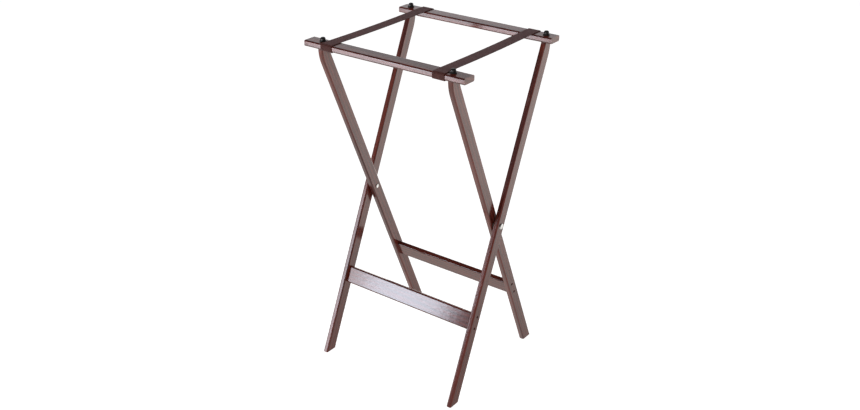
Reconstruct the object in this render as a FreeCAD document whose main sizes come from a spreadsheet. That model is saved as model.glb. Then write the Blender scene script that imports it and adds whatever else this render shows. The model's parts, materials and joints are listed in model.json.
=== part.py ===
"""Folding luggage rack, the tall kind that also carries a serving tray.

Two wooden frames cross like an X and turn on a rivet at each side. Two webbing straps join their
top rails and stop the rack from opening further. Millimetres. +X runs along the rails to the right,
-Y is the front, +Z is up, and the origin is on the floor in the middle of the four feet.

The inner frame has the front rail and stands on the rear feet. The outer frame has the rear rail
and stands on the front feet. Half a turn about Z takes one frame's side view onto the other's.
"""

import FreeCAD, Part
import os
import Sketcher

SIZES = [
    ("rack_height", 787.0, "floor to the top of the rails"),
    ("rail_spacing", 330.0, "front rail to rear rail, centre to centre"),
    ("rail_length", 415.0, "rail, end to end"),
    ("rail_width", 35.0, "rail, front to back"),
    ("rail_thickness", 13.3, "rail, top to bottom"),
    ("rail_round", 3.2, "radius on the rails' long edges"),
    ("frame_width", 382.0, "over the outer legs' outer faces"),
    ("foot_spread", 371.0, "over the front and rear feet"),
    ("leg_thickness", 12.5, "leg, along X"),
    ("leg_depth", 29.0, "leg, square to its length"),
    ("leg_top_depth", 23.2, "leg where it meets the rail"),
    ("leg_gap", 3.0, "between an inner leg and the outer leg beside it"),
    ("leg_round", 3.4, "radius on the legs' long edges"),
    ("leg_bend", 90.0, "largest radius of the bend below the rail"),
    ("foot_round", 1.0, "radius round the sole of each foot"),
    ("stretcher_height", 40.0, "stretcher, along the leg"),
    ("stretcher_thickness", 12.5, "stretcher, across the leg"),
    ("stretcher_reach", 196.6, "floor to the stretcher's middle, along the leg"),
    ("stretcher_round", 3.2, "radius on the stretchers' long edges"),
    ("side_screw_spacing", 27.4, "between the two screws at a stretcher's end"),
    ("side_screw_radius", 1.9, "shank of a stretcher screw"),
    ("side_screw_length", 33.0, "stretcher screw, under its head"),
    ("side_screw_head_radius", 2.95, "head of a stretcher screw"),
    ("side_screw_head_height", 2.2, "head of a stretcher screw"),
    ("side_sink_depth", 4.4, "counterbore in the leg"),
    ("side_sink_room", 0.25, "radial clearance of the head in that counterbore"),
    ("rail_screw_radius", 2.1, "shank of a rail screw"),
    ("rail_screw_length", 30.0, "rail screw, under its head"),
    ("rail_screw_head_radius", 3.8, "head of a rail screw"),
    ("rail_screw_head_height", 2.4, "head of a rail screw"),
    ("rail_sink_depth", 5.6, "counterbore in the rail, for the head and the bumper's stem"),
    ("screw_tip", 6.0, "cone at the end of a screw"),
    ("wood_fit", 0.05, "radial clearance round a screw, stem or tack"),
    ("end_room", 0.5, "empty end of a pilot hole"),
    ("pivot_radius", 3.0, "shank of the pivot rivet"),
    ("pivot_head_radius", 7.3, "domed head of the pivot rivet"),
    ("pivot_head_height", 2.8, "domed head of the pivot rivet"),
    ("pivot_head_round", 2.5, "radius on the head's edge"),
    ("pivot_fit", 0.06, "radial running clearance round the rivet"),
    ("pivot_play", 0.05, "side play beside each leg at the pivot"),
    ("spacer_radius", 8.0, "washer between the legs"),
    ("collar_radius", 4.4, "collar on the rivet's inner end"),
    ("collar_height", 1.8, "collar on the rivet's inner end"),
    ("bumper_radius", 7.5, "bumper's flange"),
    ("bumper_flange", 2.6, "bumper's flange, height"),
    ("bumper_dome_radius", 5.8, "bumper's dome"),
    ("bumper_height", 9.4, "bumper above the rail"),
    ("bumper_stem", 2.8, "bumper's stem below the rail's top"),
    ("bumper_edge_round", 1.3, "radius on the flange's edge"),
    ("bumper_top_round", 3.6, "radius on the dome's edge"),
    ("strap_bumper_gap", 1.25, "between a strap's edge and the front rail's bumper"),
    ("strap_width", 30.0, "webbing, edge to edge"),
    ("strap_thickness", 1.6, "webbing"),
    ("strap_gap", 0.3, "between the webbing and the rail"),
    ("strap_tail", 29.0, "webbing under the rail, from the rail's outer face"),
    ("tack_spacing", 16.0, "between the two tacks in a strap's end"),
    ("tack_radius", 0.8, "shank of a tack"),
    ("tack_length", 9.0, "tack, under its head"),
    ("tack_tip", 2.5, "point of a tack"),
    ("tack_head_radius", 3.5, "head of a tack"),
    ("tack_head_height", 0.9, "head of a tack"),
    ("tack_hole_room", 0.3, "radial clearance of a tack in the webbing"),
]

WORKED_OUT = [
    ("leg_top_z", "Sizes.rack_height - Sizes.rail_thickness", "underside of the rails"),
    (
        "lean_tan",
        "(Sizes.foot_spread + Sizes.rail_spacing - Sizes.leg_top_depth) / 2 / Worked.leg_top_z",
        "slope of a leg, run over rise",
    ),
    ("lean_cos", "1 / sqrt(1 + Worked.lean_tan ^ 2)", "cosine of the lean"),
    ("lean_sin", "Worked.lean_tan * Worked.lean_cos", "sine of the lean"),
    ("foot_depth", "Sizes.leg_depth / Worked.lean_cos", "leg, measured level along Y"),
    ("foot_y", "(Sizes.foot_spread - Worked.foot_depth) / 2", "middle of a foot on the floor"),
    ("pivot_z", "Worked.foot_y / Worked.lean_tan", "where the legs' centre lines cross"),
    ("rail_y", "Sizes.rail_spacing / 2", "middle of the rack to a rail's centre line"),
    ("outer_leg_x", "(Sizes.frame_width - Sizes.leg_thickness) / 2", "centre of an outer leg"),
    (
        "inner_leg_x",
        "Worked.outer_leg_x - Sizes.leg_thickness - Sizes.leg_gap",
        "centre of an inner leg",
    ),
    (
        "bend_z",
        "(Sizes.foot_spread / 2 - Worked.foot_depth + Worked.rail_y"
        " + Sizes.leg_top_depth / 2) / Worked.lean_tan",
        "height where the leg's outer edge turns upright",
    ),
    (
        "bend_radius",
        "min(Sizes.leg_bend; 0.98 * (Worked.leg_top_z - Worked.bend_z)"
        " * (1 + Worked.lean_cos) / Worked.lean_sin)",
        "radius of that turn, kept below the rail",
    ),
    ("stretcher_y", "Worked.foot_y - Sizes.stretcher_reach * Worked.lean_sin", "its middle"),
    ("stretcher_z", "Sizes.stretcher_reach * Worked.lean_cos", "its middle"),
    (
        "strap_x",
        "Worked.inner_leg_x - max(Sizes.bumper_radius; Sizes.leg_thickness / 2)"
        " - Sizes.strap_bumper_gap - Sizes.strap_width / 2",
        "middle of the rack to the middle of a strap",
    ),
    (
        "strap_outer_y",
        "Worked.rail_y + Sizes.rail_width / 2 + Sizes.strap_gap + Sizes.strap_thickness",
        "middle of the rack to the webbing's outer face",
    ),
    ("strap_low_z", "Worked.leg_top_z - Sizes.strap_gap - Sizes.strap_thickness", "its lowest face"),
    (
        "strap_loop_height",
        "Sizes.rail_thickness + 2 * (Sizes.strap_gap + Sizes.strap_thickness)",
        "from the webbing's lowest face to its top face",
    ),
]

SIDES = {"left": -1, "right": 1}
X_AXIS = FreeCAD.Vector(1, 0, 0)
Y_AXIS = FreeCAD.Vector(0, 1, 0)
Z_AXIS = FreeCAD.Vector(0, 0, 1)
CUT_PAST = 1.0  # how far a cut runs past the face that it opens

doc = FreeCAD.newDocument("LuggageRack")


def make_sheet():
    """The driving dimensions, and the values worked out from them."""
    sheet = doc.addObject("Spreadsheet::Sheet", "Sizes")
    for row, (alias, value, meaning) in enumerate(SIZES, start=1):
        sheet.set(f"A{row}", alias)
        sheet.set(f"B{row}", str(value))
        sheet.set(f"C{row}", meaning)
        sheet.setAlias(f"B{row}", alias)
    doc.recompute()
    worked = doc.addObject("App::VarSet", "Worked")
    for name, expression, meaning in WORKED_OUT:
        worked.addProperty("App::PropertyFloat", name, "Worked", meaning)
        worked.setExpression(name, expression)
        doc.recompute()
    return sheet


sheet = make_sheet()


def value_of(expression):
    """The number that an expression gives now."""
    return float(sheet.evalExpression(expression))


def place(feature, point, own_z=Z_AXIS):
    """Put a feature's origin at a point of three expressions, with its own Z along own_z."""
    feature.Placement = FreeCAD.Placement(FreeCAD.Vector(), FreeCAD.Rotation(Z_AXIS, own_z))
    for letter, expression in zip("xyz", point):
        feature.setExpression(f"Placement.Base.{letter}", str(expression))


def new_body(label, point=("0", "0", "0")):
    """A body that holds one piece."""
    body = doc.addObject("PartDesign::Body", label)
    body.Label = label
    place(body, point)
    return body


def set_sizes(feature, **expressions):
    for name, expression in expressions.items():
        feature.setExpression(name, expression)


def block(body, kind, name, sizes, corner):
    """A box feature, kind Additive or Subtractive, from its lowest corner."""
    feature = body.newObject(f"PartDesign::{kind}Box", name)
    place(feature, corner)
    set_sizes(feature, Length=sizes[0], Width=sizes[1], Height=sizes[2])
    doc.recompute()
    return feature


def drum(body, kind, name, radius, length, point, own_z=Z_AXIS):
    """A cylinder feature, kind Additive or Subtractive, that starts at a point."""
    feature = body.newObject(f"PartDesign::{kind}Cylinder", name)
    place(feature, point, own_z)
    set_sizes(feature, Radius=radius, Height=length)
    doc.recompute()
    return feature


def bore(body, name, radius, depth, mouth, inward):
    """A round hole from its mouth, cut a little past the face there."""
    start = [f"({at}) - {CUT_PAST * way}" for at, way in zip(mouth, inward)]
    return drum(body, "Subtractive", name, radius, f"{depth} + {CUT_PAST}", start, inward)


def round_edges(body, name, radius, wanted):
    """Fillet those edges of the body for which wanted(edge) is true."""
    base = body.Tip
    edges = [f"Edge{i}" for i, edge in enumerate(base.Shape.Edges, start=1) if wanted(edge)]
    feature = body.newObject("PartDesign::Fillet", name)
    feature.Base = (base, edges)
    set_sizes(feature, Radius=radius)
    doc.recompute()
    return feature


def runs_along(edge, axis):
    """True for a straight edge along an axis."""
    if edge.Curve.TypeId != "Part::GeomLine":
        return False
    return abs(edge.tangentAt(edge.FirstParameter).dot(axis)) > 0.999


def outline(body, name, corners):
    """A closed outline on the body's YZ plane. Each corner is an expression for Y and one for Z."""
    sketch = body.newObject("Sketcher::SketchObject", name)
    plane = next(p for p in body.Origin.OriginFeatures if p.Role == "YZ_Plane")
    sketch.AttachmentSupport = [(plane, "")]
    sketch.MapMode = "FlatFace"
    points = [FreeCAD.Vector(value_of(y), value_of(z), 0) for y, z in corners]
    count = len(corners)
    for index in range(count):
        sketch.addGeometry(Part.LineSegment(points[index], points[(index + 1) % count]), False)
    for index in range(count):
        following = (index + 1) % count
        sketch.addConstraint(Sketcher.Constraint("Coincident", index, 2, following, 1))
    for index, corner in enumerate(corners):
        for way, expression in zip("XY", corner):
            number = value_of(expression)
            constraint = Sketcher.Constraint(f"Distance{way}", -1, 1, index, 1, number)
            added = sketch.addConstraint(constraint)
            sketch.renameConstraint(added, f"corner_{index}_{way.lower()}")
            sketch.setExpression(f"Constraints.corner_{index}_{way.lower()}", expression)
    doc.recompute()
    return sketch


def make_leg(label, leg_x, turn, outward):
    """A leg: a straight strip that bends upright under the rail and is cut level at both ends.

    In its own frame the foot is at +Y and the top at -Y. turn is 0 or 180 degrees about Z, and
    outward, along X in its own frame, is the face that shows the screw heads.
    """
    body = new_body(label, (leg_x, "0", "0"))
    body.Placement.Rotation = FreeCAD.Rotation(Z_AXIS, turn)
    top_inner = "-(Worked.rail_y - Sizes.leg_top_depth / 2)"
    top_outer = "-(Worked.rail_y + Sizes.leg_top_depth / 2)"
    corners = [
        ("Sizes.foot_spread / 2", "0"),
        (top_inner, "Worked.leg_top_z"),
        (top_outer, "Worked.leg_top_z"),
        (top_outer, "Worked.bend_z"),
        ("Sizes.foot_spread / 2 - Worked.foot_depth", "0"),
    ]
    profile = outline(body, f"{label}_side_view", corners)
    pad = body.newObject("PartDesign::Pad", f"{label}_board")
    pad.Profile = profile
    pad.SideType = "Symmetric"
    set_sizes(pad, Length="Sizes.leg_thickness")
    doc.recompute()

    bend_z = value_of("Worked.bend_z")
    top_z = value_of("Worked.leg_top_z")
    half = value_of("Sizes.leg_thickness") / 2

    def at_bend(edge):
        return runs_along(edge, X_AXIS) and abs(edge.CenterOfMass.z - bend_z) < 0.01

    def along_leg(edge):
        middle = edge.CenterOfMass
        return abs(abs(middle.x) - half) < 0.01 and 0.01 < middle.z < top_z - 0.01

    def round_sole(edge):
        return edge.BoundBox.ZMax < 0.01

    round_edges(body, f"{label}_bend", "Worked.bend_radius", at_bend)
    round_edges(body, f"{label}_rounding", "Sizes.leg_round", along_leg)
    round_edges(body, f"{label}_sole", "Sizes.foot_round", round_sole)

    inward = X_AXIS * -outward
    face_x = f"{outward} * Sizes.leg_thickness / 2"
    bore(
        body,
        f"{label}_pivot_hole",
        "Sizes.pivot_radius + Sizes.pivot_fit",
        "Sizes.leg_thickness + 1",
        (face_x, "0", "Worked.pivot_z"),
        inward,
    )
    for number, end in enumerate((-1, 1), start=1):
        reach = f"(Sizes.stretcher_reach + {end} * Sizes.side_screw_spacing / 2)"
        mouth = (face_x, f"Worked.foot_y - {reach} * Worked.lean_sin", f"{reach} * Worked.lean_cos")
        bore(
            body,
            f"{label}_screw_hole_{number}",
            "Sizes.side_screw_radius + Sizes.wood_fit",
            "Sizes.leg_thickness + 1",
            mouth,
            inward,
        )
        bore(
            body,
            f"{label}_screw_sink_{number}",
            "Sizes.side_screw_head_radius + Sizes.side_sink_room",
            "Sizes.side_sink_depth",
            mouth,
            inward,
        )
    bore(
        body,
        f"{label}_top_hole",
        "Sizes.rail_screw_radius + Sizes.wood_fit",
        "Sizes.rail_screw_length - Sizes.rail_thickness + Sizes.rail_sink_depth + Sizes.end_room",
        ("0", "-Worked.rail_y", "Worked.leg_top_z"),
        Z_AXIS * -1,
    )
    return body


def make_rail(label, leg_x, side_y):
    """A top rail with a counterbored screw hole over each leg and tack holes underneath."""
    body = new_body(label, ("0", f"{side_y} * Worked.rail_y", "Worked.leg_top_z"))
    block(
        body,
        "Additive",
        f"{label}_board",
        ("Sizes.rail_length", "Sizes.rail_width", "Sizes.rail_thickness"),
        ("-Sizes.rail_length / 2", "-Sizes.rail_width / 2", "0"),
    )
    round_edges(body, f"{label}_rounding", "Sizes.rail_round", lambda e: runs_along(e, X_AXIS))
    for name, side in SIDES.items():
        mouth = (f"{side} * {leg_x}", "0", "Sizes.rail_thickness")
        bore(
            body,
            f"{label}_{name}_screw_hole",
            "Sizes.rail_screw_radius + Sizes.wood_fit",
            "Sizes.rail_thickness + 1",
            mouth,
            Z_AXIS * -1,
        )
        bore(
            body,
            f"{label}_{name}_screw_sink",
            "Sizes.rail_screw_head_radius + Sizes.wood_fit",
            "Sizes.rail_sink_depth",
            mouth,
            Z_AXIS * -1,
        )
        for number, end in enumerate((-1, 1), start=1):
            bore(
                body,
                f"{label}_{name}_tack_hole_{number}",
                "Sizes.tack_radius + Sizes.wood_fit",
                "Sizes.tack_length - Sizes.strap_gap - Sizes.strap_thickness + Sizes.end_room",
                (f"{side} * Worked.strap_x + {end} * Sizes.tack_spacing / 2", "0", "0"),
                Z_AXIS,
            )
    return body


def make_stretcher(label, leg_x, side_y):
    """A stretcher between the lower legs of one frame, tilted with them, with pilot holes."""
    body = new_body(label, ("0", f"{side_y} * Worked.stretcher_y", "Worked.stretcher_z"))
    body.Placement.Rotation = FreeCAD.Rotation(X_AXIS, 1)
    body.setExpression("Placement.Rotation.Angle", f"{side_y} * atan(Worked.lean_tan)")
    half_length = f"({leg_x} - Sizes.leg_thickness / 2)"
    block(
        body,
        "Additive",
        f"{label}_board",
        (f"2 * {half_length}", "Sizes.stretcher_thickness", "Sizes.stretcher_height"),
        (f"-{half_length}", "-Sizes.stretcher_thickness / 2", "-Sizes.stretcher_height / 2"),
    )
    round_edges(body, f"{label}_rounding", "Sizes.stretcher_round", lambda e: runs_along(e, X_AXIS))
    for name, side in SIDES.items():
        for number, end in enumerate((-1, 1), start=1):
            bore(
                body,
                f"{label}_{name}_hole_{number}",
                "Sizes.side_screw_radius + Sizes.wood_fit",
                "Sizes.side_screw_length - Sizes.leg_thickness + Sizes.side_sink_depth"
                " + Sizes.end_room",
                (f"{side} * {half_length}", "0", f"{end} * Sizes.side_screw_spacing / 2"),
                X_AXIS * -side,
            )
    return body


def part_solid(kind, name, point, own_z, **sizes):
    """A Part primitive, placed and sized by expressions."""
    feature = doc.addObject(f"Part::{kind}", name)
    place(feature, point, own_z)
    set_sizes(feature, **sizes)
    return feature


def fastener(name, family, tip, seat, inward):
    """A screw or tack: a head that sits on the point seat, a shank and a point."""
    length = f"(Sizes.{family}_length - Sizes.{tip})"
    radius = f"Sizes.{family}_radius"
    head_radius = f"Sizes.{family}_head_radius"
    head_height = f"Sizes.{family}_head_height"
    head_end = [f"({at}) - {way} * {head_height}" for at, way in zip(seat, inward)]
    shank_end = [f"({at}) + {way} * {length}" for at, way in zip(seat, inward)]
    pieces = [
        part_solid("Cylinder", f"{name}_head", head_end, inward, Radius=head_radius, Height=head_height),
        part_solid("Cylinder", f"{name}_shank", seat, inward, Radius=radius, Height=length),
        part_solid(
            "Cone", f"{name}_point", shank_end, inward, Radius1=radius, Radius2="0", Height=f"Sizes.{tip}"
        ),
    ]
    whole = doc.addObject("Part::MultiFuse", name)
    whole.Shapes = pieces
    whole.Refine = True
    return whole


def group(label, members):
    """Identical fasteners that share a node, as separate solids."""
    compound = doc.addObject("Part::Compound", label)
    compound.Label = label
    compound.Links = members
    return compound


def make_side_screws(label, leg_x, side, side_y):
    """The two screws that hold a stretcher's end to its leg."""
    seat_x = f"{side} * ({leg_x} + Sizes.leg_thickness / 2 - Sizes.side_sink_depth)"
    members = []
    for number, end in enumerate((-1, 1), start=1):
        reach = f"(Sizes.stretcher_reach + {end} * Sizes.side_screw_spacing / 2)"
        seat = (
            seat_x,
            f"{side_y} * (Worked.foot_y - {reach} * Worked.lean_sin)",
            f"{reach} * Worked.lean_cos",
        )
        members.append(fastener(f"{label}_{number}", "side_screw", "screw_tip", seat, X_AXIS * -side))
    return group(label, members)


def make_rail_screw(label, leg_x, side, side_y):
    """The screw through a rail into the end of the leg below it."""
    seat = (
        f"{side} * {leg_x}",
        f"{side_y} * Worked.rail_y",
        "Sizes.rack_height - Sizes.rail_sink_depth",
    )
    screw = fastener(label, "rail_screw", "screw_tip", seat, Z_AXIS * -1)
    screw.Label = label
    return screw


def make_bumper(label, leg_x, side, side_y):
    """A rubber bumper: a round flange, a dome and a stem that plugs the rail's counterbore."""
    place_at = (f"{side} * {leg_x}", f"{side_y} * Worked.rail_y", "Sizes.rack_height")
    body = new_body(label, place_at)
    origin = ("0", "0", "0")
    drum(body, "Additive", f"{label}_flange", "Sizes.bumper_radius", "Sizes.bumper_flange", origin)
    round_edges(
        body,
        f"{label}_flange_rounding",
        "min(Sizes.bumper_edge_round; 0.9 * Sizes.bumper_flange)",
        lambda e: e.BoundBox.ZMin > 0.01 and e.BoundBox.XLength > 1,
    )
    drum(body, "Additive", f"{label}_dome", "Sizes.bumper_dome_radius", "Sizes.bumper_height", origin)
    top = value_of("Sizes.bumper_height")
    round_edges(
        body,
        f"{label}_dome_rounding",
        "min(Sizes.bumper_top_round; 0.9 * Sizes.bumper_dome_radius)",
        lambda e: abs(e.BoundBox.ZMin - top) < 0.01 and e.BoundBox.XLength > 1,
    )
    drum(
        body,
        "Additive",
        f"{label}_stem",
        "Sizes.rail_screw_head_radius",
        "Sizes.bumper_stem",
        ("0", "0", "-Sizes.bumper_stem"),
    )
    return body


def make_rivet(label, side):
    """The pivot rivet: a domed head outside, and a shank through both legs and the collar."""
    head_x = f"{side} * Sizes.frame_width / 2"
    body = new_body(label, (head_x, "0", "Worked.pivot_z"))
    outward = X_AXIS * side
    origin = ("0", "0", "0")
    drum(
        body,
        "Additive",
        f"{label}_head",
        "Sizes.pivot_head_radius",
        "Sizes.pivot_head_height",
        origin,
        outward,
    )
    face_x = side * value_of("Sizes.pivot_head_height")
    round_edges(
        body,
        f"{label}_dome",
        "min(Sizes.pivot_head_round; 0.9 * Sizes.pivot_head_height)",
        lambda e: abs(e.CenterOfMass.x - face_x) < 0.01 and e.BoundBox.YLength > 1,
    )
    drum(
        body,
        "Additive",
        f"{label}_shank",
        "Sizes.pivot_radius",
        "2 * Sizes.leg_thickness + Sizes.leg_gap + Sizes.pivot_play + Sizes.collar_height",
        origin,
        outward * -1,
    )
    return body


def make_ring(label, side, start_x, radius, length):
    """A washer or collar round the rivet, from start_x towards the middle of the rack."""
    body = new_body(label, (f"{side} * ({start_x})", "0", "Worked.pivot_z"))
    inward = X_AXIS * -side
    origin = ("0", "0", "0")
    drum(body, "Additive", f"{label}_disc", radius, length, origin, inward)
    hole = "Sizes.pivot_radius + Sizes.pivot_fit"
    bore(body, f"{label}_hole", hole, f"{length} + 1", origin, inward)
    return body


def make_strap(label, side):
    """A strap: webbing over both rails, down their outer faces and under them to its tacked ends."""
    middle_x = f"{side} * Worked.strap_x"
    body = new_body(label, (middle_x, "0", "Worked.strap_low_z"))
    loop_sizes = ("Sizes.strap_width", "2 * Worked.strap_outer_y", "Worked.strap_loop_height")
    loop_corner = ("-Sizes.strap_width / 2", "-Worked.strap_outer_y", "0")
    block(body, "Additive", f"{label}_loop", loop_sizes, loop_corner)

    def across(edge):
        return runs_along(edge, X_AXIS)

    round_edges(
        body,
        f"{label}_outer_turns",
        "Sizes.rail_round + Sizes.strap_gap + Sizes.strap_thickness",
        across,
    )
    outer_heights = {round(e.CenterOfMass.z, 3) for e in body.Tip.Shape.Edges if across(e)}
    block(
        body,
        "Subtractive",
        f"{label}_inside",
        (
            f"Sizes.strap_width + {2 * CUT_PAST}",
            "2 * (Worked.strap_outer_y - Sizes.strap_thickness)",
            "Worked.strap_loop_height - 2 * Sizes.strap_thickness",
        ),
        (
            f"-Sizes.strap_width / 2 - {CUT_PAST}",
            "-(Worked.strap_outer_y - Sizes.strap_thickness)",
            "Sizes.strap_thickness",
        ),
    )
    round_edges(
        body,
        f"{label}_inner_turns",
        "Sizes.rail_round + Sizes.strap_gap",
        lambda e: across(e) and round(e.CenterOfMass.z, 3) not in outer_heights,
    )
    tail_end = "(Worked.rail_y + Sizes.rail_width / 2 - Sizes.strap_tail)"
    block(
        body,
        "Subtractive",
        f"{label}_open_stretch",
        (f"Sizes.strap_width + {2 * CUT_PAST}", f"2 * {tail_end}", "2 * Sizes.strap_thickness"),
        (f"-Sizes.strap_width / 2 - {CUT_PAST}", f"-{tail_end}", "-Sizes.strap_thickness / 2"),
    )
    for side_name, side_y in (("front", -1), ("rear", 1)):
        for number, end in enumerate((-1, 1), start=1):
            bore(
                body,
                f"{label}_{side_name}_tack_hole_{number}",
                "Sizes.tack_radius + Sizes.tack_hole_room",
                "2 * Sizes.strap_thickness",
                (f"{end} * Sizes.tack_spacing / 2", f"{side_y} * Worked.rail_y", "0"),
                Z_AXIS,
            )
    return body


def make_tacks(label, side, side_y):
    """The two tacks that hold one end of a strap under its rail."""
    members = []
    for number, end in enumerate((-1, 1), start=1):
        seat = (
            f"{side} * Worked.strap_x + {end} * Sizes.tack_spacing / 2",
            f"{side_y} * Worked.rail_y",
            "Worked.strap_low_z",
        )
        members.append(fastener(f"{label}_{number}", "tack", "tack_tip", seat, Z_AXIS))
    return group(label, members)


def make_frame(name, leg_x, rail_side, foot_side):
    """One crossed frame. rail_side and foot_side are -1 for the front and 1 for the rear."""
    rail_word = "front" if rail_side < 0 else "rear"
    foot_word = "front" if foot_side < 0 else "rear"
    turn = 0 if foot_side > 0 else 180
    pieces = [
        make_rail(f"{rail_word}_rail", leg_x, rail_side),
        make_stretcher(f"{foot_word}_stretcher", leg_x, foot_side),
    ]
    for side_name, side in SIDES.items():
        where = f"{side} * {leg_x}"
        pieces += [
            make_leg(f"{side_name}_{name}_leg", where, turn, side * foot_side),
            make_side_screws(f"{side_name}_{foot_word}_stretcher_screws", leg_x, side, foot_side),
            make_rail_screw(f"{side_name}_{rail_word}_rail_screw", leg_x, side, rail_side),
            make_bumper(f"{side_name}_{rail_word}_bumper", leg_x, side, rail_side),
            make_tacks(f"{side_name}_{rail_word}_strap_tacks", side, rail_side),
        ]
    return pieces


def make_pivot(side_name, side):
    """The rivet at one side, the washer between the legs and the collar inside."""
    gap_x = "Sizes.frame_width / 2 - Sizes.leg_thickness - Sizes.pivot_play"
    inside_x = "Worked.inner_leg_x - Sizes.leg_thickness / 2 - Sizes.pivot_play"
    return [
        make_rivet(f"{side_name}_pivot_rivet", side),
        make_ring(
            f"{side_name}_pivot_washer",
            side,
            gap_x,
            "Sizes.spacer_radius",
            "(Sizes.leg_gap - 2 * Sizes.pivot_play)",
        ),
        make_ring(
            f"{side_name}_pivot_collar", side, inside_x, "Sizes.collar_radius", "Sizes.collar_height"
        ),
    ]


nodes = make_frame("inner", "Worked.inner_leg_x", rail_side=-1, foot_side=1)
nodes += make_frame("outer", "Worked.outer_leg_x", rail_side=1, foot_side=-1)
for side_name, side in SIDES.items():
    nodes += make_pivot(side_name, side)
    nodes.append(make_strap(f"{side_name}_strap", side))
doc.recompute()

for feature in doc.Objects:
    if "Invalid" in feature.State or "Error" in feature.State:
        raise RuntimeError(f"{feature.Name} did not recompute: {feature.State}")
for node in nodes:
    if node.Shape.isNull() or not node.Shape.isValid():
        raise RuntimeError(f"{node.Label} has no valid shape")

os.makedirs("parts", exist_ok=True)
for node in nodes:
    node.Shape.exportStep(f"parts/{node.Label}.step")
    box = node.Shape.BoundBox
    print(
        f"{node.Label}: {len(node.Shape.Solids)} solid(s), {node.Shape.Volume:.1f} mm3,"
        f" x {box.XMin:.1f}..{box.XMax:.1f} y {box.YMin:.1f}..{box.YMax:.1f}"
        f" z {box.ZMin:.1f}..{box.ZMax:.1f}"
    )
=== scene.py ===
import json
from math import atan2, cos, pi, radians, sin, sqrt

import bpy
from mathutils import Matrix, Vector


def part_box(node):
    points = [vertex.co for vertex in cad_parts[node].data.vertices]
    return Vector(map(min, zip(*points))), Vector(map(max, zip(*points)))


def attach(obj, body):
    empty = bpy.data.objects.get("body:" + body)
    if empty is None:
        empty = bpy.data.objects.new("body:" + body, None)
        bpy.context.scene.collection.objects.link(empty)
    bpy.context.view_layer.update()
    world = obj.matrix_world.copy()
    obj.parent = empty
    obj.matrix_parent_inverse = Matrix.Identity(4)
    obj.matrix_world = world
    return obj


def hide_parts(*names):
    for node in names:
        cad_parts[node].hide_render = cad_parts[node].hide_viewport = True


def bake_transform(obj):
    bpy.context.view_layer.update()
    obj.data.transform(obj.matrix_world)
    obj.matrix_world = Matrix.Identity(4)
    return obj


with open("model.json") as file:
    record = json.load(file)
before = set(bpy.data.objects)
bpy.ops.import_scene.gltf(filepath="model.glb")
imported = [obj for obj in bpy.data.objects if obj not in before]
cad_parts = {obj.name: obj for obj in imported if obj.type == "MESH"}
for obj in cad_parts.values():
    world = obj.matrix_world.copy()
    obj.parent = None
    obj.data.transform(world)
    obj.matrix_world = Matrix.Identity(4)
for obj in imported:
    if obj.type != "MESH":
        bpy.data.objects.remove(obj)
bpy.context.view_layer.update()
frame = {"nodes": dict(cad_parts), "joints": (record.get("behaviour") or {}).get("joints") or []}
nodes = frame["nodes"]


# --- Camera -------------------------------------------------------------------------------------
# A short telephoto on a tripod, at the rack's front right, a little above its top rails.

CAMERA_PLACE = Vector((1.2755, -1.7587, 1.4546))
CAMERA_TURN = radians(36.06)
CAMERA_FALL = radians(26.23)
CAMERA_ROLL = radians(0.41)

camera_data = bpy.data.cameras.new("camera")
camera_data.lens = 43.58
camera_data.sensor_width = 36.0
camera_data.clip_end = 60.0
camera = bpy.data.objects.new("camera", camera_data)
camera.matrix_world = (
    Matrix.Translation(CAMERA_PLACE)
    @ Matrix.Rotation(CAMERA_TURN, 4, "Z")
    @ Matrix.Rotation(pi / 2 - CAMERA_FALL, 4, "X")
    @ Matrix.Rotation(CAMERA_ROLL, 4, "Z")
)
bpy.context.scene.collection.objects.link(camera)
bpy.context.scene.camera = camera


# --- Studio: floor, surroundings and lamps ----------------------------------------------------------
# White paper that glows, with a white backdrop all round. What the gloss shows is the studio beyond:
# bright far paper, a paler horizon, a lit card at the right rear, a dark ceiling and dark side flags.
# A softbox low at the front left puts the gloss on the boards, and two lamps fill the shadows.

FLOOR_SPAN = 40.0
BACKDROP_RADIUS = 19.5
BACKDROP_GLOW = 1.05
FLOOR_WHITE = (0.60, 0.60, 0.605, 1.0)
FLOOR_MOTTLE = (0.62, 0.62, 0.62, 1.0)
FLOOR_GLOW = 0.90
HORIZON_LIGHT = 1.15
REAR_LIGHT = 0.35
FRONT_LIGHT = 0.22
NEAR_PAPER_LIGHT = 0.45
FRONT_PAPER_LIGHT = 1.25
FAR_PAPER_LIGHT = 1.75
CEILING_LIGHT = 0.05
SIDE_FLAG_LIGHT = 0.30
SIDE_CARD_LIFT = 0.35
WARM_PAPER = (1.0, 0.965, 0.93, 1.0)
COOL_ROOM = (0.97, 0.97, 1.0, 1.0)
# From and to, as parts of a direction one long: X to the right, Y to the back, Z up.
REAR_WALL_Z = (sin(radians(9)), sin(radians(24)))
FRONT_WALL_Z = (sin(radians(1)), sin(radians(4)))
CEILING_Z = (sin(radians(28)), sin(radians(45)))
FRONT_TO_BACK_Y = (-0.25, 0.35)
REAR_PAPER_Z = (-0.62, -0.36)
FRONT_PAPER_Z = (-0.60, -0.10)
PAPER_EDGE_Z = (-0.12, 0.0)
SIDE_CARD_START_X = (0.545, 0.575)
SIDE_CARD_END_X = (0.60, 0.64)
SIDE_FLAG_X = (0.80, 0.94)


def add_node(tree, kind, sockets=None, **settings):
    """A node with its settings. Each socket takes a plain value or another node's output."""
    made = tree.nodes.new(kind)
    for setting, value in settings.items():
        setattr(made, setting, value)
    for socket, value in (sockets or {}).items():
        if isinstance(value, bpy.types.NodeSocket):
            tree.links.new(value, made.inputs[socket])
        else:
            made.inputs[socket].default_value = value
    return made


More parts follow.
